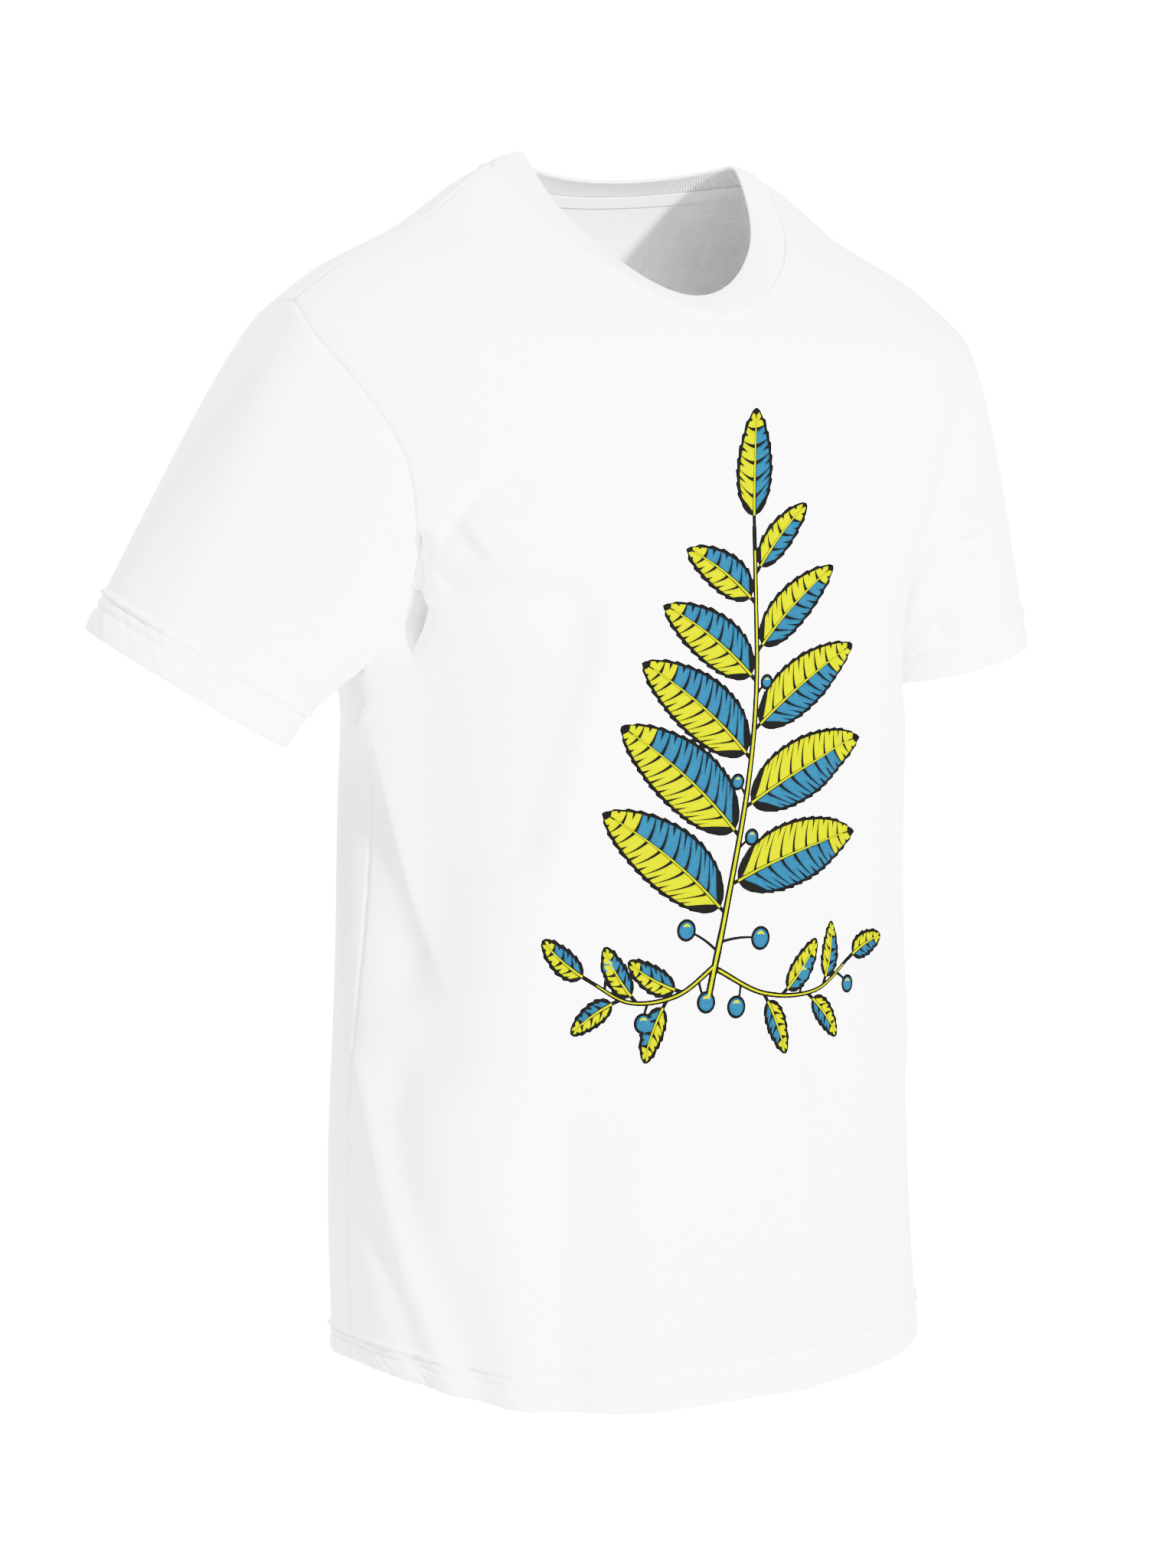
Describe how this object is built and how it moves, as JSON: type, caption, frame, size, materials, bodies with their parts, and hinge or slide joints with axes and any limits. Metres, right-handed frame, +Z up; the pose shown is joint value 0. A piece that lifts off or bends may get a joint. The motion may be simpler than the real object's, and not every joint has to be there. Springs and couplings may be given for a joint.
{
  "type": "short-sleeved crew-neck T-shirt",
  "caption": "Plain white short-sleeved crew-neck T-shirt with a ribbed neck, opened out as if worn and standing on its hem.",
  "frame": {"origin": "middle of the bounding box at the level of the hem", "axes": "+Z up, +X towards the wearer's left, +Y towards the wearer's back, so the front of the shirt faces -Y"},
  "size_m": [0.6762, 0.2529, 0.7306],
  "materials": {
    "white_jersey": "matt cotton single jersey",
    "white_rib": "matt cotton rib knit",
    "white_tape": "matt cotton tape"
  },
  "bodies": {
    "root": {"front_panel": "white_jersey", "back_panel": "white_jersey", "sleeve_right": "white_jersey", "sleeve_left": "white_jersey", "neck_rib": "white_rib", "neck_tape": "white_tape", "front_hem_turn": "white_jersey", "back_hem_turn": "white_jersey", "sleeve_hem_turn_right": "white_jersey", "sleeve_hem_turn_left": "white_jersey"}
  },
  "joints": []
}
